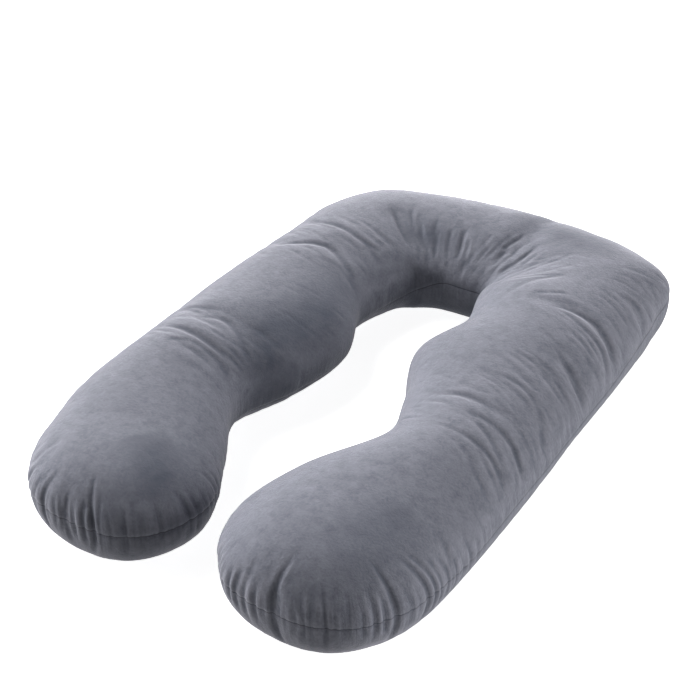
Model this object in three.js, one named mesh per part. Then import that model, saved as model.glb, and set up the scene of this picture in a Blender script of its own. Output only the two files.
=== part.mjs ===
import * as THREE from 'three';

// A U-shaped body pillow lying flat: one filled velvet tube, closed at the arch and open at the feet.
// Millimetres, +Z up, +Y towards the arch, +X the right arm, origin on the floor under the middle.

const overallWidth = 800;
const seamDrawIn = 4;
const undersideFullness = 1.15;
const toeRoundness = 2.35;
const stationSpacing = 15;
const toeSteps = 17;
const footRows = 4;
const seamSamples = 160;
const shoulderRise = 0.6;

// One row for each section across the tube, from the left toe round the arch to the right toe.
// The seam's inner and outer points on the plan, the heights of the crown and of the seam, and
// how upright the wall under the seam is, where 2 is a round wall and more is a squarer one.
const sections = table(['innerX', 'innerY', 'outerX', 'outerY', 'crown', 'seam', 'wall'], [
  [-16, -605, -300, -605, 174, 90, 2.3],
  [-4, -460, -346, -460, 169, 90, 2.3],
  [-64, -341, -378, -341, 168, 90, 2.3],
  [-144, -198, -381, -198, 166, 90, 2.3],
  [-104, -72, -388, -72, 163, 91, 2.3],
  [-88, 53, -395, 53, 158, 92, 2.3],
  [-134, 169, -393, 169, 153, 92, 2.3],
  [-114, 286, -391, 286, 151, 90, 2.7],
  [-86, 309, -390, 409, 149, 88, 3.2],
  [-56, 318, -336, 521, 148, 88, 3.3],
  [-32, 318, -216, 569, 147, 88, 3.3],
  [-18, 317, -110, 590, 146, 88, 3.3],
  [-7, 317, -7, 599, 146, 88, 3.3],
  [4, 317, 96, 596, 147, 88, 3.3],
  [20, 318, 209, 577, 150, 88, 3.3],
  [36, 314, 316, 518, 155, 88, 3.3],
  [46, 302, 343, 400, 162, 88, 3.1],
  [42, 280, 358, 286, 169, 90, 2.7],
  [72, 169, 370, 169, 174, 92, 2.3],
  [48, 53, 377, 53, 176, 92, 2.3],
  [105, -72, 385, -72, 178, 91, 2.3],
  [140, -198, 391, -198, 181, 90, 2.3],
  [72, -341, 399, -341, 185, 90, 2.3],
  [50, -460, 396, -460, 186, 90, 2.3],
  [76, -605, 360, -605, 182, 90, 2.3],
]);

// Creases across the tube, each from one place along the table and angle round the section to
// another. The width is from the middle of the trough to where it has nearly gone.
const creases = table(['fromPlace', 'fromAngle', 'toPlace', 'toAngle', 'width', 'depth'], [
  [2.95, 75, 3.0, 155, 16, 9],
  [3.25, 45, 3.18, 140, 16, 10],
  [3.8, 45, 3.4, 150, 16, 10],
  [5.9, 20, 6.4, 125, 20, 14],
  [6.5, 85, 5.95, 155, 14, 6],
  [7.15, 30, 6.65, 145, 18, 9],
  [8.75, 80, 8.15, 135, 15, 7],
  [9.2, 92, 8.7, 138, 15, 6],
  [9.75, 100, 9.0, 146, 15, 7],
  [10.2, 95, 9.7, 144, 15, 6],
  [10.75, 95, 10.5, 142, 15, 8],
  [12.6, 95, 13.5, 140, 15, 5],
  [13.5, 90, 14.6, 146, 15, 8],
  [16.0, 85, 17.4, 130, 15, 6],
  [16.2, 52, 16.6, 2, 14, 5],
  [17.45, 108, 17.85, 4, 18, 17],
  [17.55, 92, 18.05, 4, 14, 10],
  [18.5, 70, 18.95, 6, 15, 7],
  [18.95, 78, 19.25, 16, 15, 6],
  [19.5, 100, 20.15, 10, 16, 10],
  [20.28, 128, 20.2, 56, 14, 6],
  [20.5, 100, 20.75, 12, 16, 10],
  [20.92, 112, 21.15, 14, 15, 8],
]);

// Puckers that the seam gathers round the feet. Each lies at a distance along the seam from the
// tip of the toe, positive towards the outer side, and reaches that far over the rim.
const leftPuckers = table(['along', 'reach', 'width', 'depth'], [
  [-275, 80, 18, 4],
  [-203, 80, 18, 5],
  [-98, 75, 18, 5],
  [-44, 95, 16, 4],
  [8, 90, 16, 4],
  [66, 90, 18, 5],
  [130, 75, 18, 4],
]);
const rightPuckers = table(['along', 'reach', 'width', 'depth'], [
  [-130, 65, 18, 4],
  [-58, 75, 17, 4],
  [12, 100, 17, 6],
  [92, 85, 17, 4],
  [190, 95, 18, 6],
  [255, 95, 18, 6],
  [310, 85, 18, 5],
]);

// Angles round a section in degrees: 0 is the outer seam, 90 the crown and 180 the inner seam.
const upperAngles = [5, 13, 24, 36, 49, 62, 76];
const lowerAngles = [5, 13, 26, 42, 60];
const ringAngles = [
  ...[0, ...upperAngles, 90],
  ...upperAngles.map((angle) => 180 - angle).reverse(),
  ...[180, ...lowerAngles.map((angle) => 180 + angle), 270],
  ...lowerAngles.map((angle) => 360 - angle).reverse(),
];
const lastRow = sections.length - 1;

function table(columns, rows) {
  return rows.map((row) => Object.fromEntries(columns.map((name, index) => [name, row[index]])));
}

// A smooth curve through four neighbouring values, between the second and the third of them.
function smoothBetween([before, start, end, after], t) {
  const slopeStart = (end - before) / 2;
  const slopeEnd = (after - start) / 2;
  const bend = 2 * (start - end) + slopeStart + slopeEnd;
  const lift = 3 * (end - start) - 2 * slopeStart - slopeEnd;
  return start + slopeStart * t + lift * t ** 2 + bend * t ** 3;
}

// The section at a place along the table, where whole numbers are its rows.
function sectionAt(place) {
  const row = Math.min(Math.floor(place), lastRow - 1);
  const near = [-1, 0, 1, 2].map((step) => sections[THREE.MathUtils.clamp(row + step, 0, lastRow)]);
  const valueOf = (name) => smoothBetween(near.map((section) => section[name]), place - row);
  return Object.fromEntries(Object.keys(sections[0]).map((name) => [name, valueOf(name)]));
}

function middleOf(section) {
  return new THREE.Vector2((section.innerX + section.outerX) / 2, (section.innerY + section.outerY) / 2);
}

// Places of the cross sections along the table, even on the tube and closer together at the toes.
function stationPlaces() {
  const toe = Array.from({ length: toeSteps }, (_, step) => Math.sin(Math.PI / 2 * step / toeSteps));
  const places = toe.slice(1).reverse().map((reach) => 1 - reach);
  for (let row = 1; row < lastRow - 1; row += 1) {
    const length = middleOf(sections[row]).distanceTo(middleOf(sections[row + 1]));
    const steps = Math.round(length / stationSpacing);
    for (let step = 0; step < steps; step += 1) {
      places.push(row + step / steps);
    }
  }
  return [...places, ...toe.map((reach) => lastRow - 1 + reach)];
}

// How far a foot has closed: 1 on the arms and the arch, 0 at the tip of the toe.
function toeClosing(place) {
  const towardsTip = Math.max(0, 1 - place, place - (lastRow - 1));
  return (1 - towardsTip ** toeRoundness) ** (1 / toeRoundness);
}

function signedPower(value, power) {
  return Math.sign(value) * Math.abs(value) ** power;
}

// A point of the plain tube, before the creases and puckers.
function skinPoint(place, angleDegrees) {
  const section = sectionAt(place);
  const closing = toeClosing(place);
  const angle = THREE.MathUtils.degToRad(angleDegrees);
  const below = angleDegrees > 180;
  const roundness = below ? 2 / section.wall : 1;
  const across = signedPower(Math.cos(angle), roundness);
  const up = signedPower(Math.sin(angle), roundness);
  const half = new THREE.Vector2(section.outerX - section.innerX, section.outerY - section.innerY);
  half.multiplyScalar(closing / 2);
  const plan = middleOf(section).addScaledVector(half, across);
  const depth = below ? section.seam * undersideFullness : section.crown - section.seam;
  return new THREE.Vector3(plan.x, plan.y, Math.max(0, section.seam + up * depth * closing));
}

// The seam round one foot, each point with its distance from the tip of the toe.
function footSeam(fromTip) {
  const line = [];
  for (const [angle, side] of [[180, -1], [0, 1]]) {
    let along = 0;
    let last = skinPoint(fromTip(0), angle);
    for (let step = 0; step <= seamSamples; step += 1) {
      const reach = footRows * (1 - Math.cos(Math.PI / 2 * step / seamSamples));
      const point = skinPoint(fromTip(reach), angle);
      along += point.distanceTo(last);
      line.push({ point, along: side * along });
      last = point;
    }
  }
  return line;
}

// The cross profile of a fold: a soft trough between two low shoulders, 1 deep.
function foldProfile(distance, width) {
  const reach = (distance / width) ** 2;
  return Math.exp(-reach) * (1 - shoulderRise * reach);
}

function creaseDepth(place, angle, point) {
  let depth = 0;
  for (const crease of creases) {
    const t = (angle - crease.fromAngle) / (crease.toAngle - crease.fromAngle);
    const creasePlace = THREE.MathUtils.lerp(crease.fromPlace, crease.toPlace, t);
    if (t > 0 && t < 1 && Math.abs(place - creasePlace) < 2) {
      const distance = point.distanceTo(skinPoint(creasePlace, angle));
      depth += crease.depth * Math.sqrt(Math.sin(Math.PI * t)) * foldProfile(distance, crease.width);
    }
  }
  return depth;
}

function puckerDepth(point, seamLine, puckers) {
  let nearest = seamLine[0];
  for (const candidate of seamLine) {
    if (candidate.point.distanceTo(point) < nearest.point.distanceTo(point)) {
      nearest = candidate;
    }
  }
  const fromSeam = nearest.point.distanceTo(point);
  let depth = 0;
  for (const pucker of puckers.filter((each) => fromSeam < each.reach)) {
    const fade = 1 - (fromSeam / pucker.reach) ** 2;
    depth += pucker.depth * fade * foldProfile(nearest.along - pucker.along, pucker.width);
  }
  return depth;
}

// The closed skin of the pillow: rings joined by quads, with a fan of triangles at each toe.
function plainTube() {
  const rings = stationPlaces().map((place) => ringAngles.map((angle) => ({ place, angle })));
  const spots = [...rings.flat(), { place: 0, angle: 0 }, { place: lastRow, angle: 0 }];
  const size = ringAngles.length;
  const lastRing = (rings.length - 1) * size;
  const faces = [];
  for (let around = 0; around < size; around += 1) {
    const next = (around + 1) % size;
    for (let ring = 0; ring < lastRing; ring += size) {
      const corners = [ring + around, ring + next, ring + size + around, ring + size + next];
      faces.push(corners[0], corners[1], corners[2], corners[1], corners[3], corners[2]);
    }
    faces.push(spots.length - 2, next, around);
    faces.push(spots.length - 1, lastRing + around, lastRing + next);
  }
  const points = spots.map((spot) => skinPoint(spot.place, spot.angle));
  const geometry = new THREE.BufferGeometry().setFromPoints(points);
  geometry.setIndex(faces);
  geometry.computeVertexNormals();
  return { geometry, spots };
}

// Sinks each point of the plain tube along its normal by the creases, puckers and seam there.
function pillowGeometry() {
  const { geometry, spots } = plainTube();
  const { position, normal } = geometry.attributes;
  const feet = [
    { puckers: leftPuckers, fromTip: (place) => place },
    { puckers: rightPuckers, fromTip: (place) => lastRow - place },
  ];
  feet.forEach((foot) => {
    foot.seam = footSeam(foot.fromTip);
  });
  spots.forEach(({ place, angle }, index) => {
    const point = new THREE.Vector3().fromBufferAttribute(position, index);
    let sink = angle % 180 === 0 ? seamDrawIn : 0;
    sink += creaseDepth(place, angle, point);
    for (const foot of feet.filter((each) => each.fromTip(place) < footRows)) {
      sink += puckerDepth(point, foot.seam, foot.puckers);
    }
    if (point.z > 0) {
      point.addScaledVector(new THREE.Vector3().fromBufferAttribute(normal, index), -sink);
      position.setXYZ(index, point.x, point.y, Math.max(0, point.z));
    }
  });
  return geometry;
}

// Centres a geometry over the origin and scales it to the overall width.
function fitToWidth(geometry) {
  geometry.computeBoundingBox();
  const { min, max } = geometry.boundingBox;
  geometry.translate(-(min.x + max.x) / 2, -(min.y + max.y) / 2, 0);
  const scale = overallWidth / (max.x - min.x);
  return geometry.scale(scale, scale, scale);
}

const velvet = new THREE.MeshStandardMaterial({ color: 0x7f858f, roughness: 0.9, metalness: 0 });
const pillow = new THREE.Mesh(fitToWidth(pillowGeometry()), velvet);
pillow.name = 'pillow';
pillow.geometry.computeVertexNormals();

const group = new THREE.Group();
group.add(pillow);

export default group;
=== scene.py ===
import math

import bmesh
import bpy
import numpy as np
from mathutils import Matrix, Vector


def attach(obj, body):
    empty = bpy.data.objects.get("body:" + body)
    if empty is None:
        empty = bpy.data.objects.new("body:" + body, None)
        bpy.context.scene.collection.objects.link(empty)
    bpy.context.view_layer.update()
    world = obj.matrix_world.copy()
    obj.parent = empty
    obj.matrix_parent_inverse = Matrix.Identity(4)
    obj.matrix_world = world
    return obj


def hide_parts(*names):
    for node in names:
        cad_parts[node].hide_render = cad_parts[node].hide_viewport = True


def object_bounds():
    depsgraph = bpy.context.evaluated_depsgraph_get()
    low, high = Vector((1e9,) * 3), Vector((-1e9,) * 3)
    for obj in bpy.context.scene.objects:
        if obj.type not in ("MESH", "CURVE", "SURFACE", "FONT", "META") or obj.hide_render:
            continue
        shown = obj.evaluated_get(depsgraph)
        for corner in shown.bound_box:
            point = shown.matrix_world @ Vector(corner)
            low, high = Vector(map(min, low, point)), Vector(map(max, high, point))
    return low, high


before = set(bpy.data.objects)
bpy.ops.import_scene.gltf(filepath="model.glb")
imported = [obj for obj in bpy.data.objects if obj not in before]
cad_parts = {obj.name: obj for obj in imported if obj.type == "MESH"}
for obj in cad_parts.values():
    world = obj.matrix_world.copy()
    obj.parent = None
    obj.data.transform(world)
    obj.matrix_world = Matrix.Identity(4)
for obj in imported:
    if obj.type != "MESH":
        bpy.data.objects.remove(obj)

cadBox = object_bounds()
print("frame loaded")

# The tube that the pillow is sewn to, in millimetres. A row for each section from the left toe
# round the arch to the right toe: the seam's inner and outer point on the plan, the heights of
# the crown and of the seam, and how upright the wall under the seam is. The crown's lean is how much
# higher it stands on its outer side, from one place on the tube to the next.
tube = {
    "rows": np.array([
        [-16, -605, -300, -605, 174, 90, 2.3],
        [-4, -460, -346, -460, 169, 90, 2.3],
        [-64, -341, -378, -341, 168, 90, 2.3],
        [-144, -198, -381, -198, 166, 90, 2.3],
        [-104, -72, -388, -72, 163, 91, 2.3],
        [-88, 53, -395, 53, 158, 92, 2.3],
        [-134, 169, -393, 169, 153, 92, 2.3],
        [-114, 286, -391, 286, 151, 90, 2.7],
        [-86, 309, -390, 409, 149, 88, 3.2],
        [-56, 318, -336, 521, 148, 88, 3.3],
        [-32, 318, -216, 569, 147, 88, 3.3],
        [-18, 317, -110, 590, 146, 88, 3.3],
        [-7, 317, -7, 599, 146, 88, 3.3],
        [4, 317, 96, 596, 147, 88, 3.3],
        [20, 318, 209, 577, 150, 88, 3.3],
        [36, 314, 316, 518, 155, 88, 3.3],
        [46, 302, 343, 400, 162, 88, 3.1],
        [42, 280, 358, 286, 169, 90, 2.7],
        [72, 169, 370, 169, 174, 92, 2.3],
        [48, 53, 377, 53, 176, 92, 2.3],
        [105, -72, 385, -72, 178, 91, 2.3],
        [140, -198, 391, -198, 181, 90, 2.3],
        [72, -341, 399, -341, 185, 90, 2.3],
        [50, -460, 396, -460, 186, 90, 2.3],
        [76, -605, 360, -605, 182, 90, 2.3],
    ], float),
    "undersideFullness": 1.15,
    "toeRoundness": 2.35,
    "crownLean": [(1, 0), (3, 0.10), (5, 0.15), (7, 0.10), (9, 0.12), (12, 0.15), (14, 0.10), (16, 0)],
}
lastRow = len(tube["rows"]) - 1
floorTouch = 0.01  # points of the plain tube lower than this lie on the floor

# The cover's mesh: columns that cross the seam, and rows at distances from it in millimetres. A drop
# is how far the seam sits under the widest line at each place on the tube.
cover = {
    "columnSpacing": 6.4,
    "toeColumns": 74,
    "seamRows": [4, 11],
    "crownRows": 14,
    "wallRows": 7,
    "baseRows": 2,
    "seamSamples": 4000,
    "profileSamples": 240,
    "weldDistance": 0.004,
    "outerDrop": [(14.8, 0), (16.4, 8), (18.0, 12), (21.8, 12), (23.0, 0)],
    "innerDrop": [(1.0, 0), (2.6, 56), (5.4, 56), (9.6, 4), (15.4, 4), (18.0, 40), (21.4, 40), (23.0, 0)],
}

# Broad creases, each from one place on the tube and angle round it to another, with its width
# and depth in millimetres. An angle of 0 is the outer seam, 90 the crown and 180 the inner seam.
broadCreases = [
    (16, 9, [(2.95, 75), (3.0, 155)]),
    (16, 10, [(3.25, 45), (3.18, 140)]),
    (16, 10, [(3.8, 45), (3.4, 150)]),
    (20, 10, [(6.2, 14), (6.42, 125)]),
    (14, 6, [(6.5, 85), (5.95, 155)]),
    (18, 6, [(7.15, 30), (6.65, 145)]),
    (15, 7, [(8.75, 80), (8.15, 135)]),
    (15, 6, [(9.2, 92), (8.7, 138)]),
    (15, 7, [(9.75, 100), (9.0, 146)]),
    (15, 6, [(10.2, 95), (9.7, 144)]),
    (15, 8, [(10.75, 95), (10.5, 142)]),
    (15, 5, [(12.6, 95), (13.5, 140)]),
    (15, 8, [(13.5, 90), (14.6, 146)]),
    (15, 6, [(16.0, 85), (17.4, 130)]),
    (14, 5, [(16.2, 52), (16.6, 2)]),
    (18, 17, [(17.45, 108), (17.42, 60), (17.85, 4)]),
    (14, 10, [(17.55, 92), (18.05, 4)]),
    (15, 7, [(18.5, 70), (18.95, 6)]),
    (15, 6, [(18.95, 78), (19.25, 16)]),
    (16, 7, [(19.5, 100), (20.15, 10)]),
    (14, 6, [(20.28, 128), (20.2, 56)]),
    (16, 6, [(20.5, 100), (20.75, 12)]),
    (15, 4, [(20.92, 112), (21.15, 14)]),
]

# Soft valleys where the filling thins out, written like the creases.
valleys = [
    (34, 9, [(12.45, 42), (12.77, 81), (13.6, 138)]),
    (26, 8, [(8.7, 82), (8.51, 114), (8.1, 168)]),
    (30, 7, [(3.86, 60), (3.82, 100), (3.74, 145)]),
    (24, 4, [(6.7, 84), (6.6, 110), (6.5, 140)]),
]

# Narrow creases inside and beside the broad ones, written like them.
narrowCreases = [
    (8, 5, [(17.47, 84), (17.42, 53), (17.76, 18)]),
    (7, 4, [(17.52, 78), (17.76, 43), (18.01, 9)]),
    (7, 3, [(17.76, 60), (18.02, 28)]),
    (8, 4, [(18.44, 62), (18.62, 47), (18.92, 12)]),
    (7, 3, [(16.2, 46), (16.37, 22), (16.55, 4)]),
    (7, 2.5, [(15.46, 42), (15.68, 24), (15.95, 6)]),
    (8, 4, [(20.5, 86), (20.5, 67), (20.6, 41), (20.72, 18)]),
    (8, 4.5, [(19.53, 84), (19.6, 55), (20.14, 16)]),
    (7, 3, [(18.88, 68), (18.99, 48), (19.2, 30)]),
    (7, 3, [(18.58, 56), (18.79, 35), (18.9, 16)]),
    (7, 4, [(20.9, 102), (20.97, 59), (21.13, 20)]),
    (8, 4, [(20.28, 118), (20.19, 90), (20.3, 66)]),
    (7, 2.5, [(22.34, 34), (22.55, 4)]),
    (7, 2.5, [(21.98, 28), (22.15, 4)]),
    (9, 5, [(6.1, 50), (6.43, 91), (6.3, 118)]),
    (9, 5, [(7.1, 50), (7.07, 91), (6.64, 142)]),
    (8, 4, [(6.45, 92), (6.19, 129), (5.95, 153)]),
    (8, 5, [(3.25, 60), (3.25, 90), (3.17, 134)]),
    (8, 4, [(2.95, 80), (3.08, 103), (3.0, 150)]),
    (8, 4, [(3.66, 74), (3.77, 95), (3.38, 144)]),
    (8, 3, [(3.82, 48), (3.95, 79)]),
    (7, 3.5, [(8.7, 86), (8.44, 107), (8.2, 130)]),
    (7, 3.5, [(9.18, 102), (8.74, 132)]),
    (7, 4, [(9.72, 108), (8.96, 144)]),
    (7, 3.5, [(10.18, 102), (9.69, 142)]),
    (7, 4, [(10.76, 100), (10.52, 140)]),
    (7, 3, [(12.62, 102), (13.5, 137)]),
    (7, 4, [(13.55, 96), (14.53, 143)]),
    (8, 3, [(16.04, 94), (16.76, 110), (17.38, 122)]),
    (8, 3, [(17.02, 80), (17.32, 103)]),
]

# Puckers that the seam gathers: the distance along the seam from the tip of the toe, positive
# towards the outer side, then how far it reaches over the rim, its width, its depth, and how far
# its end leans along the seam.
widePuckers = {
    "left": [(-275, 80, 18, 4, 0), (-203, 80, 18, 5, 0), (-98, 75, 18, 5, 0), (-44, 95, 16, 4, 0),
             (8, 90, 16, 4, 0), (66, 90, 18, 5, 0), (130, 75, 18, 4, 0)],
    "right": [(-130, 65, 18, 4, 0), (-58, 75, 17, 4, 0), (12, 100, 17, 6, 0), (92, 85, 17, 4, 0),
              (190, 95, 18, 6, 0), (255, 95, 18, 6, 0), (310, 85, 18, 5, 0)],
}
narrowPuckers = {
    "left": [(19, 45, 5, 2.4, 6), (12, 75, 5, 2.6, -8), (-6, 55, 5, 2.2, 5), (-25, 58, 5.5, 2.6, -6),
             (-43, 98, 5.5, 3.6, 14), (-98, 60, 5, 2.4, 4), (-150, 45, 5, 1.8, -4), (-203, 62, 5.5, 3, 8),
             (-222, 50, 5, 2.2, 8), (-280, 65, 5.5, 2.6, 10), (-298, 52, 5, 2, 8), (65, 74, 5, 2.6, -8),
             (90, 50, 5, 1.8, -6), (128, 62, 5.5, 2.2, -6)],
    "right": [(-128, 50, 5, 2, 6), (-82, 45, 5, 1.8, 4), (-66, 55, 5, 2.4, 5), (-49, 58, 5, 2.6, 8),
              (-26, 52, 5, 2.2, 6), (7, 108, 5.5, 4, 16), (16, 60, 5, 2, 4), (60, 45, 5, 1.6, -4),
              (92, 80, 5, 2.6, -6), (116, 40, 5, 1.6, 0), (163, 64, 5.5, 3, -4), (180, 50, 5, 2, -6),
              (197, 98, 5.5, 3.4, -12), (224, 52, 5, 1.8, -6), (258, 92, 5.5, 3.4, -14),
              (275, 90, 5, 3, -16), (289, 64, 5, 2.2, -8), (309, 62, 5, 2.2, -10), (331, 54, 5, 2, -8),
              (352, 46, 5, 1.6, -6), (374, 48, 5, 2, -6)],
}


def valuesAt(places, stops):  # a value for each place, eased from one stop to the next
    at, value = np.array(stops, float).T
    left = np.clip(np.searchsorted(at, places, side="right") - 1, 0, len(at) - 2)
    share = np.clip((places - at[left]) / (at[left + 1] - at[left]), 0, 1)
    return value[left] + (value[left + 1] - value[left]) * share ** 2 * (3 - 2 * share)


def sectionsAt(places):  # a smooth curve through the rows, as (count, 7) values
    row = np.clip(np.floor(places).astype(int), 0, lastRow - 1)
    t = (places - row)[..., None]
    before, start, end, after = (tube["rows"][np.clip(row + step, 0, lastRow)] for step in (-1, 0, 1, 2))
    slopeStart = (end - before) / 2
    slopeEnd = (after - start) / 2
    bend = 2 * (start - end) + slopeStart + slopeEnd
    lift = 3 * (end - start) - 2 * slopeStart - slopeEnd
    return start + slopeStart * t + lift * t ** 2 + bend * t ** 3


def toeClosing(places):  # 1 on the arms and the arch, 0 at the tip of a toe
    towardsTip = np.clip(np.maximum(1 - places, places - (lastRow - 1)), 0, 1)
    return (1 - towardsTip ** tube["toeRoundness"]) ** (1 / tube["toeRoundness"])


def skinPoints(places, across, below):  # points of the plain tube, in millimetres
    section = sectionsAt(places)
    closing = toeClosing(places)
    innerX, innerY, outerX, outerY, crown, seam, wall = np.moveaxis(section, -1, 0)
    x = (innerX + outerX) / 2 + (outerX - innerX) / 2 * across
    y = (innerY + outerY) / 2 + (outerY - innerY) / 2 * across
    lean = valuesAt(places, tube["crownLean"])
    rise = np.sqrt(np.clip(closing ** 2 - across ** 2, 0, None)) * (crown - seam) * (1 + lean * across)
    drop = np.clip(closing ** wall - np.abs(across) ** wall, 0, None) ** (1 / wall)
    z = seam - drop * seam * tube["undersideFullness"] if below else seam + rise
    return np.stack([x, y, np.maximum(z, 0)], -1)


def curveOnTube(stops, samples=24):  # a smooth line on the tube through places and angles
    stops = np.array(stops, float)
    at = np.linspace(0, len(stops) - 1, samples)
    row = np.clip(np.floor(at).astype(int), 0, len(stops) - 2)
    t = (at - row)[:, None]
    before, start, end, after = (stops[np.clip(row + step, 0, len(stops) - 1)] for step in (-1, 0, 1, 2))
    line = start + (end - before) / 2 * t
    line = line + (3 * (end - start) - (end - before) - (after - start) / 2) * t ** 2
    line = line + (2 * (start - end) + (end - before) / 2 + (after - start) / 2) * t ** 3
    across = np.cos(np.radians(line[:, 1])) * toeClosing(line[:, 0])
    over, under = (skinPoints(line[:, 0], across, below) for below in (False, True))
    return np.where(line[:, 1:] > 180, under, over)


def seamColumns():  # the columns round the seam: each one's place, its side and its reach into a toe
    dense = np.linspace(1, lastRow - 1, cover["seamSamples"])
    section = sectionsAt(dense)
    centre = (section[:, 0:2] + section[:, 2:4]) / 2
    outer = section[:, 2:4]
    steps = sum(np.linalg.norm(np.diff(line, axis=0), axis=1) for line in (centre, outer)) / 2
    gone = np.concatenate([[0], np.cumsum(steps)])
    count = round(gone[-1] / cover["columnSpacing"])
    places = np.interp(np.linspace(0, gone[-1], count + 1), gone, dense)
    turn = np.linspace(0, math.pi, cover["toeColumns"] + 1)
    power = 2 / tube["toeRoundness"]
    reach = np.sign(np.cos(turn)) * np.abs(np.cos(turn)) ** power
    tip = np.sin(turn) ** power
    columns = [(place, 1.0, 0.0) for place in places[:-1]]
    columns += [(lastRow - 1, across, forward) for across, forward in zip(reach[:-1], tip[:-1])]
    columns += [(place, -1.0, 0.0) for place in places[:0:-1]]
    columns += [(1.0, -across, -forward) for across, forward in zip(reach[:-1], tip[:-1])]
    return np.array(columns + columns[:1])


def seamShifts(columns):  # how far the seam sits under the widest line
    outer, inner = (valuesAt(columns[:, 0], cover[name]) for name in ("outerDrop", "innerDrop"))
    return -np.where(columns[:, 1] > 0, outer, inner)


def coverPoints():  # the plain cover as (columns, rows) of points, with how far each lies from the seam
    columns = seamColumns()
    shifts = seamShifts(columns)
    fine = np.cos(np.linspace(0, math.pi / 2, cover["profileSamples"]))[None]
    place, across, forward = (columns[:, index][:, None] for index in range(3))
    profiles = []
    for below in (True, False):
        dense = skinPoints(place + forward * fine, across * fine, below)
        gone = np.linalg.norm(np.diff(dense, axis=1), axis=2).cumsum(axis=1)
        profiles.append((dense, np.concatenate([np.zeros((len(columns), 1)), gone], axis=1)))
    (lowPoints, lowGone), (highPoints, highGone) = profiles
    near = np.array([0] + cover["seamRows"], float)
    arcs, lowShares, highShares = [], [], []
    for index, shift in enumerate(shifts):
        onFloor = -lowGone[index][np.argmax(lowPoints[index, :, 2] <= 0)]
        base = np.linspace(-lowGone[index, -1], onFloor, cover["baseRows"] + 1)[:-1]
        wall = np.linspace(onFloor, shift - near[-1], cover["wallRows"] + 1)[:-1]
        crown = np.linspace(shift + near[-1], highGone[index, -1], cover["crownRows"] + 1)[1:]
        arc = np.concatenate([base, wall, shift - near[:0:-1], shift + near, crown])
        arcs.append(arc)
        lowShares.append(np.interp(-arc, lowGone[index], fine[0]))
        highShares.append(np.interp(arc, highGone[index], fine[0]))
    arcs, lowShares, highShares = np.array(arcs), np.array(lowShares), np.array(highShares)
    low = skinPoints(place + forward * lowShares, across * lowShares, True)
    high = skinPoints(place + forward * highShares, across * highShares, False)
    points = np.where((arcs < 0)[..., None], low, high)
    seamLine = points[:, cover["baseRows"] + cover["wallRows"] + len(near) - 1]
    alongSeam = np.concatenate([[0], np.linalg.norm(np.diff(seamLine, axis=0), axis=1).cumsum()])
    return points, arcs - shifts[:, None], alongSeam, columns


def makeCover(points, fromSeam, alongSeam):  # a grid wrapped into the closed cover
    columnCount, rowCount = points.shape[:2]
    shape = bmesh.new()
    bmesh.ops.create_grid(shape, x_segments=columnCount - 1, y_segments=rowCount - 1, size=0.5)
    uvLayer = shape.loops.layers.uv.new("Seam")
    plainLayer = shape.verts.layers.float_vector.new("plain")
    for vert in shape.verts:
        column = round((vert.co.x + 0.5) * (columnCount - 1))
        row = round((vert.co.y + 0.5) * (rowCount - 1))
        vert.co = points[column, row]
        vert[plainLayer] = vert.co
        seamAt = Vector((alongSeam[column] / 1000, fromSeam[column, row] / 1000))
        for loop in vert.link_loops:
            loop[uvLayer].uv = seamAt
    bmesh.ops.remove_doubles(shape, verts=shape.verts, dist=cover["weldDistance"])
    bmesh.ops.recalc_face_normals(shape, faces=shape.faces)
    mesh = bpy.data.meshes.new("pillowCover")
    shape.to_mesh(mesh)
    shape.free()
    mesh.polygons.foreach_set("use_smooth", [True] * len(mesh.polygons))
    pillow = bpy.data.objects.new("pillowCover", mesh)
    bpy.context.scene.collection.objects.link(pillow)
    return pillow


def foldProfile(distance, width, shoulder=0.6):  # a soft trough between two shoulders, 1 deep
    reach = (distance / width) ** 2
    return np.exp(-reach) * (1 - shoulder * reach)


def creaseDepths(base, creases, shoulder=0.6):  # how far the creases sink each point, in millimetres
    depth = np.zeros(len(base))
    for width, deep, stops in creases:
        line = curveOnTube(stops)
        low = line.min(axis=0) - 3 * width
        high = line.max(axis=0) + 3 * width
        near = np.flatnonzero(((base > low) & (base < high)).all(axis=1))
        start, step = line[:-1], np.diff(line, axis=0)
        length = np.linalg.norm(step, axis=1)
        gap = base[near][:, None] - start[None]
        share = np.clip((gap * step[None]).sum(axis=2) / length[None] ** 2, 0, 1)
        distance = np.linalg.norm(gap - share[..., None] * step[None], axis=2)
        best = distance.argmin(axis=1)
        pick = np.arange(len(near))
        before = np.concatenate([[0], length.cumsum()])
        along = (before[best] + share[pick, best] * length[best]) / before[-1]
        fade = np.sqrt(np.clip(np.sin(math.pi * along), 0, 1))
        depth[near] += deep * fade * foldProfile(distance[pick, best], width, shoulder)
    return depth


def puckerDepths(along, fromSeam, tipAt, seamLength, puckers, side, shoulder):  # those of one foot
    depth = np.zeros(len(along))
    fromTip = (along - tipAt + seamLength / 2) % seamLength - seamLength / 2
    away = np.where(fromSeam < 0, -1.5 * fromSeam, fromSeam)  # a pucker reaches less far under the seam
    for at, reach, width, deep, lean in puckers:
        share = np.clip(away / reach, 0, 1)
        fade = (1 - share ** 2) * (0.75 + 0.25 * np.sin(math.pi * share))
        gap = fromTip * side - at - lean * share ** 2
        depth += deep * fade * foldProfile(gap, width * (1 + 0.5 * share), shoulder)
    return depth


# The slight gathers between the others, from one distance along the seam to another, in millimetres.
smallGathers = {"seeds": {"left": 3, "right": 4}, "from": -360.0, "to": 400, "gap": (9, 24),
                "reach": (24, 62), "width": (4, 5.5), "depth": (0.5, 1.5), "lean": 6}


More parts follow.
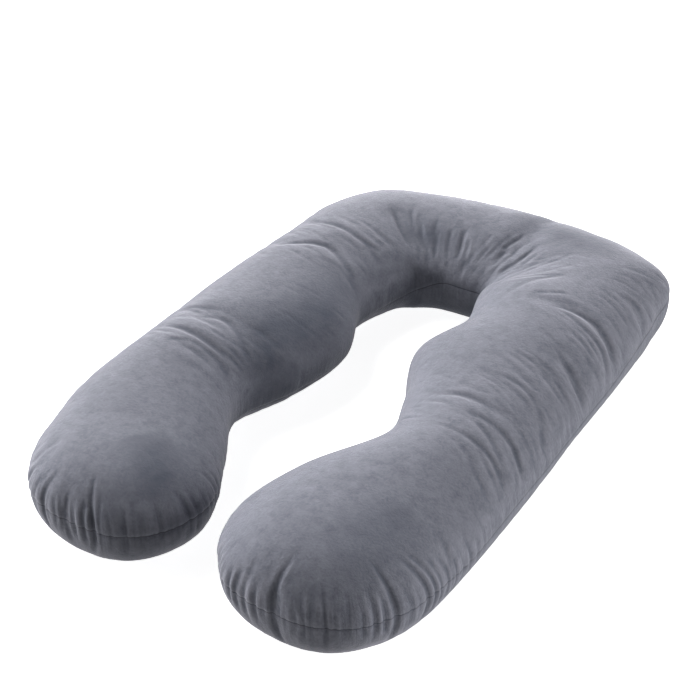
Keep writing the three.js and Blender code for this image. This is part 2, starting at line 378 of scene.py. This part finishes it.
def smallPuckers(seed):
    chance = np.random.default_rng(seed)
    at = smallGathers["from"]
    puckers = []
    while at < smallGathers["to"]:
        at += chance.uniform(*smallGathers["gap"])
        size = [chance.uniform(*smallGathers[name]) for name in ("reach", "width", "depth")]
        puckers.append((at, *size, chance.normal(0, smallGathers["lean"])))
    return puckers


def readPoints(mesh, source="vertices"):  # a mesh's points, or its normals, as an array
    values = np.empty(len(mesh.vertices) * 3, np.float32)
    data = mesh.vertices if source == "vertices" else mesh.vertex_normals
    data.foreach_get("co" if source == "vertices" else "vector", values)
    return values.reshape(-1, 3).astype(float)


def readPlain(mesh):  # where each point lies on the plain tube, in millimetres
    values = np.empty(len(mesh.vertices) * 3, np.float32)
    mesh.attributes["plain"].data.foreach_get("vector", values)
    return values.reshape(-1, 3).astype(float)


def readSeam(mesh):  # each point's millimetres along the seam and from it
    corners = np.empty(len(mesh.loops), np.int32)
    mesh.loops.foreach_get("vertex_index", corners)
    values = np.empty(len(mesh.loops) * 2, np.float32)
    mesh.uv_layers["Seam"].data.foreach_get("uv", values)
    seamAt = np.zeros((len(mesh.vertices), 2))
    seamAt[corners] = values.reshape(-1, 2)
    return seamAt[:, 0] * 1000, seamAt[:, 1] * 1000


def writePoints(mesh, places):
    mesh.vertices.foreach_set("co", places.astype(np.float32).ravel())
    mesh.update()


def sinkPoints(mesh, sink, scale=1.0):  # moves points in, and leaves the flat base alone
    base = readPoints(mesh)
    normal = readPoints(mesh, "normals")
    moved = base - normal * (sink * scale)[:, None]
    moved[:, 2] = np.maximum(moved[:, 2], 0)
    onFloor = readPlain(mesh)[:, 2] <= floorTouch
    moved[onFloor] = base[onFloor]
    writePoints(mesh, moved)


def seamPuckers(mesh, puckers, shoulder=0.6):  # the puckers of both feet
    along, fromSeam = readSeam(mesh)
    leftTip = alongSeam[np.argmin(columns[:, 2])]
    rightTip = alongSeam[np.argmax(columns[:, 2])]
    left = puckerDepths(along, fromSeam, leftTip, alongSeam[-1], puckers["left"], 1, shoulder)
    right = puckerDepths(along, fromSeam, rightTip, alongSeam[-1], puckers["right"], -1, shoulder)
    return left + right


def fitToBox(mesh):  # centres the cover over the origin and scales it to the CAD width
    places = readPoints(mesh)
    low, high = places.min(axis=0), places.max(axis=0)
    scale = (cadBox[1][0] - cadBox[0][0]) / (high[0] - low[0])
    centre = (low + high) / 2
    centre[2] = 0
    writePoints(mesh, (places - centre) * scale)


# How the cover is filled. The fabric is let out most within seamReach millimetres of the seam, and
# crownGrowth of that on the crown, up to feetFrom places away from the arch's middle. The poles,
# where a foot's columns meet, are held. Life is how much of the wrinkling each place keeps, on the
# outer and on the inner side.
filling = {
    "pressure": 2.5,
    "frames": 20,
    "quality": 5,
    "mass": 0.15,
    "tension": 14,
    "shear": 14 / 3,
    "bending": 0.25,
    "damping": 8,
    "bendingDamping": 1,
    "airDamping": 2,
    "growth": 0.07,
    "crownGrowth": 0.35,
    "feetFrom": 8.7,
    "feetEase": 1.2,
    "seamEase": 10,
    "seamReach": 60,
    "poleHeld": 20,
    "poleEase": 50,
    "cap": 0.006,
    "gain": 0.45,
    "smoothing": 40,
    "evenBand": 4,
    "evenReach": 45,
    "underShare": 0.55,
    "outerLife": [
        (0.2, 1), (1.1, 0.35), (2.2, 0.3), (3, 0.7), (4, 0.6), (4.6, 0.25), (5.6, 0.25), (6.3, 0.5),
        (7.2, 0.5), (8, 0.4), (14.5, 0.4), (16, 0.6), (19, 0.65), (20.4, 0.5), (21.8, 0.35),
        (22.8, 0.35), (23.8, 1)],
    "innerLife": [
        (0.2, 1), (1.1, 0.35), (2.2, 0.4), (3, 0.8), (4, 0.7), (4.6, 0.35), (5.5, 0.4), (6.4, 0.9), (15, 1),
        (16.8, 0.5), (19, 0.3), (20, 0.5), (21, 0.4), (22.8, 0.35), (23.8, 1)],
}


def placeOnTube(plain, samples=600):  # the place along the tube of the section nearest to each point
    places = np.linspace(0, lastRow, samples)
    section = sectionsAt(places)
    middle = (section[:, 0:2] + section[:, 2:4]) / 2
    gaps = plain[:, None, :2] - middle[None]
    return places[(gaps ** 2).sum(axis=2).argmin(axis=1)]


def liveliness(mesh):  # how much the cloth wrinkles at each point, from its place and its side
    plain = readPlain(mesh)
    places = np.interp(readSeam(mesh)[0], alongSeam, columns[:, 0] + columns[:, 2])
    section = sectionsAt(places)
    middle, half = (section[:, 2:4] + section[:, 0:2]) / 2, (section[:, 2:4] - section[:, 0:2]) / 2
    across = ((plain[:, :2] - middle) * half).sum(axis=1) / (half ** 2).sum(axis=1)
    outer = np.clip(0.5 + across, 0, 1)
    amounts = [valuesAt(places, filling[name]) for name in ("outerLife", "innerLife")]
    return amounts[0] * outer + amounts[1] * (1 - outer)


def spreadAlongEdges(mesh, values, rounds):  # the mean of each point's neighbours, again and again
    edges = np.empty(len(mesh.edges) * 2, np.int32)
    mesh.edges.foreach_get("vertices", edges)
    first, second = edges.reshape(-1, 2).T
    count = np.bincount(edges, minlength=len(values))
    for _ in range(rounds):
        total = np.bincount(first, values[second], len(values))
        total += np.bincount(second, values[first], len(values))
        values = (values + total / count) / 2
    return values


def fillWithCloth(pillow):  # lets pressure push the cover out, and keeps the wrinkles that it makes
    mesh = pillow.data
    plain = readPlain(mesh)
    fromSeam = readSeam(mesh)[1]
    draft = pillow.copy()
    draft.data = mesh.copy()
    bpy.context.scene.collection.objects.link(draft)
    held = draft.vertex_groups.new(name="held")
    eased = draft.vertex_groups.new(name="eased")
    distance = np.abs(fromSeam)
    fromArch = np.abs(placeOnTube(plain) - lastRow / 2)
    towardsFoot = np.clip((fromArch - filling["feetFrom"]) / filling["feetEase"], 0, 1)
    crownShare = filling["crownGrowth"] * (1 - towardsFoot)
    nearSeam = np.exp(-(distance / filling["seamReach"]) ** 2)
    growth = np.clip(distance / filling["seamEase"], 0, 1) * (crownShare + (1 - crownShare) * nearSeam)
    poleAt, poleAcross = np.array([1.0, lastRow - 1.0]), np.zeros(2)
    poles = np.concatenate([skinPoints(poleAt, poleAcross, below) for below in (True, False)])
    fromPole = np.min([np.linalg.norm(plain - pole, axis=1) for pole in poles], axis=0)
    pin = np.clip(1 - (fromPole - filling["poleHeld"]) / filling["poleEase"], 0, 1)
    pin[plain[:, 2] <= floorTouch] = 1.0
    for index in range(len(plain)):
        if pin[index] > 0:
            held.add([index], float(pin[index]), "REPLACE")
        eased.add([index], float(1 - growth[index]), "REPLACE")
    cloth = draft.modifiers.new("cloth", "CLOTH")
    settings = cloth.settings
    settings.quality = filling["quality"]
    settings.mass = filling["mass"]
    settings.tension_stiffness = filling["tension"]
    settings.compression_stiffness = filling["tension"]
    settings.shear_stiffness = filling["shear"]
    settings.bending_stiffness = filling["bending"]
    settings.tension_damping = filling["damping"]
    settings.compression_damping = filling["damping"]
    settings.bending_damping = filling["bendingDamping"]
    settings.air_damping = filling["airDamping"]
    settings.use_pressure = True
    settings.uniform_pressure_force = filling["pressure"]
    settings.effector_weights.gravity = 0
    settings.vertex_group_mass = "held"
    settings.vertex_group_shrink = "eased"
    settings.shrink_min = -filling["growth"]
    settings.shrink_max = 0.0
    cloth.point_cache.frame_start = 1
    cloth.point_cache.frame_end = filling["frames"]
    scene = bpy.context.scene
    for frameNumber in range(1, filling["frames"] + 1):
        scene.frame_set(frameNumber)
    result = draft.evaluated_get(bpy.context.evaluated_depsgraph_get()).to_mesh()
    filled = readPoints(result)
    base = readPoints(mesh)
    normal = readPoints(mesh, "normals")
    out = ((filled - base) * normal).sum(axis=1)
    print("cloth moved points by", np.abs(out).mean().round(4), "m, at most", np.abs(out).max().round(4))
    wrinkle = out - spreadAlongEdges(mesh, out, filling["smoothing"])
    band = np.round(fromSeam / filling["evenBand"]).astype(int)  # a ridge all along the seam goes
    band -= band.min()
    usual = (np.bincount(band, wrinkle) / np.maximum(np.bincount(band), 1))[band]
    wrinkle -= usual * np.exp(-(fromSeam / filling["evenReach"]) ** 4)
    wrinkle *= np.where(fromSeam < 0, filling["underShare"], 1.0) * liveliness(mesh)
    wrinkle = filling["cap"] * np.tanh(filling["gain"] * wrinkle / filling["cap"])
    print("wrinkles of", wrinkle.std().round(5), "m")
    bpy.data.objects.remove(draft)
    scene.frame_set(1)
    sinkPoints(mesh, -wrinkle)


def refine(pillow):  # one subdivision, applied
    modifier = pillow.modifiers.new("finer", "SUBSURF")
    modifier.levels = 1
    modifier.render_levels = 1
    modifier.uv_smooth = "NONE"
    finer = bpy.data.meshes.new_from_object(pillow.evaluated_get(bpy.context.evaluated_depsgraph_get()))
    pillow.modifiers.clear()
    pillow.data = finer
    finer.name = "pillowCover"


# How much of each kind of fold shows, how far the cover swells beside it, and the depth and width of
# the seam's groove in millimetres.
folding = {"broad": 0.27, "pucker": 0.2, "narrow": 0.5, "gather": 1.1, "valleyShoulder": 0.2,
           "narrowShoulder": 1.0, "seam": 1.2, "seamWidth": 2.6}

# Small creases, as many as each stretch of the tube shows: its places and angles, how many, how
# far one runs round the tube in degrees and how its place shifts with each degree.
smallCreaseStretches = [
    (17.4, 21.4, 10, 74, 90, (22, 55), -0.007),
    (19.6, 21.0, 80, 150, 18, (15, 35), -0.003),
    (15.2, 17.4, 8, 60, 28, (18, 45), -0.006),
    (13.2, 17.4, 92, 150, 34, (15, 35), 0.030),
    (10.2, 13.2, 95, 150, 20, (15, 35), 0.000),
    (8.0, 10.4, 90, 150, 26, (15, 35), -0.020),
    (5.8, 7.6, 45, 155, 34, (18, 45), -0.005),
    (2.8, 4.2, 40, 155, 36, (18, 45), -0.001),
    (4.4, 5.6, 100, 160, 6, (15, 35), 0.002),
]
smallCreaseSizes = {"seed": 11, "width": (5.0, 7.5), "depth": (0.8, 2.2), "bow": 0.02, "lean": (0.6, 1.4)}


def smallCreases():
    chance = np.random.default_rng(smallCreaseSizes["seed"])
    creases = []
    for fromPlace, toPlace, fromAngle, toAngle, count, span, shift in smallCreaseStretches:
        for _ in range(count):
            place = chance.uniform(fromPlace, toPlace)
            angle = chance.uniform(fromAngle, toAngle)
            reach = chance.uniform(*span) / 2
            low, high = max(4, angle - reach), min(176, angle + reach)
            bow = chance.normal(0, smallCreaseSizes["bow"])
            lean = shift * chance.uniform(*smallCreaseSizes["lean"])
            start = (place + lean * (low - angle), low)
            end = (place + lean * (high - angle), high)
            stops = [start, (place + bow, angle), end]
            width, deep = (chance.uniform(*smallCreaseSizes[name]) for name in ("width", "depth"))
            creases.append((width, deep, stops))
    return creases


# Painted shade: strokes that darken the velvet's colour where shade falls, on inner slopes, in the arch's
# hollow
# and low on the inner walls by the floor: a stroke's width, its strength and its course. Angles past 180 lie
# on the inner wall, under the seam.
paintedShadeStrokes = [
    (68, 1.0, [(3.1, 150), (4.0, 126), (4.7, 126), (5.4, 132), (6.2, 142)]),
    (40, 0.8, [(8.1, 124), (8.75, 110), (9.3, 116), (10.1, 134)]),
    (56, 1.3, [(11.9, 72), (12.7, 60), (13.7, 60), (15.0, 68)]),
    (44, 1.5, [(2.0, 214), (4.4, 214), (6.8, 214), (7.6, 214)]),
    (44, 1.5, [(6.6, 214), (9.0, 210), (11.5, 210), (15.0, 210)]),
    (58, 0.7, [(22.3, 54), (23.1, 60), (23.4, 74)]),
    (56, 0.9, [(1.2, 104), (0.75, 122), (0.5, 145)]),
]


def markPaintedShade(mesh):  # how much painted shade darkens each point
    strokes = creaseDepths(readPlain(mesh), paintedShadeStrokes, 0.0)
    mesh.attributes.new("paintedShade", "FLOAT", "POINT").data.foreach_set("value", strokes.astype(np.float32))


# the velvet paints highlight on the folds that this finds and shade in their troughs
def markRelief(mesh, near=14, far=60):  # how far each point stands out of the cover round it
    places = readPoints(mesh)
    smooth = np.stack([spreadAlongEdges(mesh, places[:, axis], near) for axis in range(3)], axis=1)
    relief = ((places - smooth) * readPoints(mesh, "normals")).sum(axis=1)
    relief -= spreadAlongEdges(mesh, relief, far)
    mesh.attributes.new("relief", "FLOAT", "POINT").data.foreach_set("value", relief.astype(np.float32))
    print("relief from", relief.min().round(5), "to", relief.max().round(5), "spread", relief.std().round(6))


points, fromSeam, alongSeam, columns = coverPoints()
print("cover grid", points.shape[:2], "seam", alongSeam[-1].round(), "mm")
pillow = makeCover(points, fromSeam, alongSeam)
plain = readPlain(pillow.data)
sink = folding["broad"] * creaseDepths(plain, broadCreases)
sink += creaseDepths(plain, valleys, folding["valleyShoulder"])
sink += folding["pucker"] * seamPuckers(pillow.data, widePuckers)
sinkPoints(pillow.data, sink)
fitToBox(pillow.data)
fillWithCloth(pillow)
refine(pillow)
plain = readPlain(pillow.data)
sink = folding["narrow"] * creaseDepths(plain, narrowCreases + smallCreases(), folding["narrowShoulder"])
sink += folding["gather"] * seamPuckers(pillow.data, narrowPuckers, folding["narrowShoulder"])
smallOnes = {foot: smallPuckers(seed) for foot, seed in smallGathers["seeds"].items()}
sink += folding["gather"] * seamPuckers(pillow.data, smallOnes, folding["narrowShoulder"])
sink += folding["seam"] * np.exp(-np.abs(readSeam(pillow.data)[1] / folding["seamWidth"]) ** 1.5)
sinkPoints(pillow.data, sink, 0.001)
fitToBox(pillow.data)
markRelief(pillow.data)
markPaintedShade(pillow.data)
print("cover made,", len(pillow.data.polygons), "faces")


class Signal:  # a socket of a shader, which can be added and multiplied
    def __init__(self, shader, socket):
        self.shader = shader
        self.socket = socket

    def maths(self, operation, *values):
        return self.shader.node("Math", {"operation": operation}, dict(enumerate(values)))

    def __add__(self, other):
        return self.maths("ADD", self, other)

    def __radd__(self, other):
        return self.maths("ADD", other, self)

    def __sub__(self, other):
        return self.maths("SUBTRACT", self, other)

    def __rsub__(self, other):
        return self.maths("SUBTRACT", other, self)

    def __mul__(self, other):
        return self.maths("MULTIPLY", self, other)

    def __rmul__(self, other):
        return self.maths("MULTIPLY", other, self)


class Shader:  # a material or world whose nodes are made one call at a time
    def __init__(self, owner):
        owner.use_nodes = True
        self.owner = owner
        self.tree = owner.node_tree
        self.tree.nodes.clear()

    def node(self, kind, settings=None, values=None, output=0):
        made = self.tree.nodes.new("ShaderNode" + kind)
        for name, value in (settings or {}).items():
            setattr(made, name, value)
        for name, value in (values or {}).items():
            if isinstance(value, Signal):
                self.tree.links.new(value.socket, made.inputs[name])
            else:
                made.inputs[name].default_value = value
        return Signal(self, made.outputs[output]) if made.outputs else made

    def fade(self, value, reach, strength):  # eases from one strength to another over a reach
        return self.node("MapRange", {"interpolation_type": "SMOOTHSTEP"}, {
            "Value": value, "From Min": reach[0], "From Max": reach[1],
            "To Min": strength[0], "To Max": strength[1]})

    def blend(self, share, below, above):  # a share of one colour over another
        return self.node("Mix", {"data_type": "RGBA"}, {0: share, 6: below, 7: above}, output=2)


# The velvet's colours, the scales of its patterns and how far, in metres, gathers and stitches reach
# from the seam. Ridge is the relief at which a fold gets its full painted highlight and a trough its full
# painted shade.
velvetLook = {
    "shade": (0.103, 0.110, 0.137, 1),
    "light": (0.183, 0.187, 0.221, 1),
    "thread": (0.022, 0.023, 0.030, 1),
    # the darker colour painted where shade falls
    "shadePaint": (0.062, 0.069, 0.092, 1),
    "cloudScale": 48,
    "patchScale": 14,
    "streakScale": 110,
    "grainScale": 260,
    "napScale": 900,
    "gatherScale": (150, 8, 0),
    "gatherReach": (0.010, 0.075),
    "stitchReach": (0.0004, 0.0013),
    "stitchShare": 0.6,
    # at most how much of the painted shade colour is mixed in
    "shadePaintShare": 0.85,
    "ridge": 0.0008,
    "paintedFoldShading": 0.34,
    "bumpStrength": 0.34,
    "bumpDistance": 0.002,
    "roughness": 0.8,
    "specular": 0.15,
    "sheen": 0.46,
    "sheenRoughness": 0.35,
    "sheenTint": (0.88, 0.86, 0.93, 1),
}


def makeVelvet():
    velvet = Shader(bpy.data.materials.new("velvet"))
    look = velvetLook
    place = velvet.node("TexCoord", output=3)
    cloud = velvet.node("TexNoise", {}, {
        "Vector": place, "Scale": look["cloudScale"], "Detail": 4, "Roughness": 0.6})
    patch = velvet.node("TexNoise", {}, {
        "Vector": place, "Scale": look["patchScale"], "Detail": 2, "Distortion": 0.6})
    grain = velvet.node("TexNoise", {}, {"Vector": place, "Scale": look["grainScale"], "Detail": 2})
    nap = velvet.node("TexNoise", {}, {"Vector": place, "Scale": look["napScale"], "Detail": 2})
    streaks = velvet.node("TexNoise", {}, {
        "Vector": place, "Scale": look["streakScale"], "Detail": 3, "Distortion": 1.2})
    seamAt = velvet.node("UVMap", {"uv_map": "Seam"})
    seam = velvet.node("SeparateXYZ", {}, {"Vector": seamAt}, output=1)
    fromSeam = seam.maths("ABSOLUTE", seam)
    stretched = velvet.node("VectorMath", {"operation": "MULTIPLY"}, {0: seamAt, 1: look["gatherScale"]})
    gathers = velvet.node("TexNoise", {}, {"Vector": stretched, "Scale": 1, "Detail": 3, "Distortion": 0.3})
    gathers = (gathers - 0.5) * velvet.fade(fromSeam, look["gatherReach"], (1.0, 0.0))
    relief = velvet.node("Attribute", {"attribute_name": "relief"}, output=2)
    ridge = velvet.node("MapRange", {}, {
        "Value": relief, "From Min": -look["ridge"], "From Max": look["ridge"],
        "To Min": -1.0, "To Max": 1.0})
    tone = cloud * 1.5 + patch * 0.5 + streaks * 0.9 + grain * 0.5 + gathers * 1.2 - 1.18
    # Painted highlight and painted shade: folds that stand out are made lighter and troughs darker.
    tone = tone + ridge * look["paintedFoldShading"]
    # Painted shade: the strokes' attribute, broken up by noise, mixes a darker colour into the base colour
    # where shade falls.
    paintedShade = velvet.node("Attribute", {"attribute_name": "paintedShade"}, output=2)
    shadePaint = paintedShade + (patch - 0.5) * 1.5 + (cloud - 0.5) * 1.1
    shadePaint = velvet.fade(shadePaint, (0.0, 1.2), (0.0, look["shadePaintShare"]))
    stitched = velvet.fade(fromSeam, look["stitchReach"], (look["stitchShare"], 0.0))
    colour = velvet.blend(tone, look["shade"], look["light"])
    colour = velvet.blend(shadePaint, colour, look["shadePaint"])
    colour = velvet.blend(stitched, colour, look["thread"])
    height = nap * 0.5 + grain * 1.0 + streaks * 0.8 + cloud * 0.8 + gathers * 1.8
    bump = velvet.node("Bump", {}, {
        "Height": height, "Strength": look["bumpStrength"], "Distance": look["bumpDistance"]})
    finish = velvet.node("BsdfPrincipled", {}, {
        "Base Color": colour, "Roughness": look["roughness"], "Normal": bump,
        "Sheen Weight": look["sheen"], "Sheen Roughness": look["sheenRoughness"],
        "Sheen Tint": look["sheenTint"], "Specular IOR Level": look["specular"],
    })
    velvet.node("OutputMaterial", {}, {"Surface": finish})
    return velvet.owner


pillow.data.materials.append(makeVelvet())
print("velvet made")

# A sun's row is its bearing and its height in degrees and its strength.
studio = {
    "floorSize": 40,
    "floorColour": (0.92, 0.92, 0.92, 1),
    "floorRoughness": 0.9,
    "floorGlow": 0.9,
    "sunSpread": 40,
    "suns": [
        (25, 8, 3.8), (60, 7, 1.0), (135, 22, 1.1), (150, 7, 3.2), (180, 22, 2.2), (180, 50, 2.1),
        (210, 7, 1.7)],
    "horizon": 0.15,
    "skyAbove": 0.03,
    "skyBelow": 0.44,
    "cameraTarget": (-0.06212, 0.0178, 0.09937),
    "cameraAzimuth": 34.884,
    "cameraElevation": 33.29,
    "cameraRoll": -1.575,
    "cameraDistance": 2.99476,
    "lens": 87.15,
    "sensorWidth": 36,
}


def makeFloor():
    shape = bmesh.new()
    bmesh.ops.create_grid(shape, x_segments=1, y_segments=1, size=studio["floorSize"] / 2)
    mesh = bpy.data.meshes.new("studioFloor")
    shape.to_mesh(mesh)
    shape.free()
    floor = bpy.data.objects.new("studioFloor", mesh)
    bpy.context.scene.collection.objects.link(floor)
    paper = Shader(bpy.data.materials.new("studioPaper"))
    finish = paper.node("BsdfPrincipled", {}, {
        "Base Color": studio["floorColour"], "Roughness": studio["floorRoughness"],
        "Emission Color": (1, 1, 1, 1), "Emission Strength": studio["floorGlow"]})
    paper.node("OutputMaterial", {}, {"Surface": finish})
    floor.data.materials.append(paper.owner)
    floor.visible_diffuse = False
    return floor


def makeLights():
    sky = Shader(bpy.data.worlds.new("studioSky"))
    height = sky.node("SeparateXYZ", {}, {"Vector": sky.node("TexCoord", output=0)}, output=2)
    horizon = (-studio["horizon"], studio["horizon"])
    strength = sky.fade(height, horizon, (studio["skyBelow"], studio["skyAbove"]))
    light = sky.node("Background", {}, {"Color": (1, 1, 1, 1), "Strength": strength})
    sky.node("OutputWorld", {}, {"Surface": light})
    bpy.context.scene.world = sky.owner
    for bearing, height, strength in studio["suns"]:  # each stands for a large soft box beside the pillow
        lamp = bpy.data.lights.new("softBox", "SUN")
        lamp.energy = strength
        lamp.angle = math.radians(studio["sunSpread"])
        sun = bpy.data.objects.new("softBox", lamp)
        sun.rotation_euler = (0, math.radians(90 - height), math.radians(bearing))
        bpy.context.scene.collection.objects.link(sun)


def makeCamera():
    azimuth = math.radians(studio["cameraAzimuth"])
    elevation = math.radians(studio["cameraElevation"])
    roll = math.radians(studio["cameraRoll"])
    level = math.cos(elevation)
    back = Vector((math.sin(azimuth) * level, -math.cos(azimuth) * level, math.sin(elevation)))
    right = Vector((0, 0, 1)).cross(back).normalized()
    up = back.cross(right)
    tiltedRight = right * math.cos(roll) + up * math.sin(roll)
    tiltedUp = up * math.cos(roll) - right * math.sin(roll)
    lens = bpy.data.cameras.new("camera")
    lens.lens = studio["lens"]
    lens.sensor_width = studio["sensorWidth"]
    camera = bpy.data.objects.new("camera", lens)
    turn = Matrix((tiltedRight, tiltedUp, back)).transposed().to_4x4()
    place = Vector(studio["cameraTarget"]) + back * studio["cameraDistance"]
    camera.matrix_world = Matrix.Translation(place) @ turn
    bpy.context.scene.collection.objects.link(camera)
    bpy.context.scene.camera = camera


floor = makeFloor()
makeLights()
makeCamera()
bpy.context.scene.view_settings.view_transform = "Standard"
print("studio set")

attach(pillow, "root")
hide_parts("pillow")
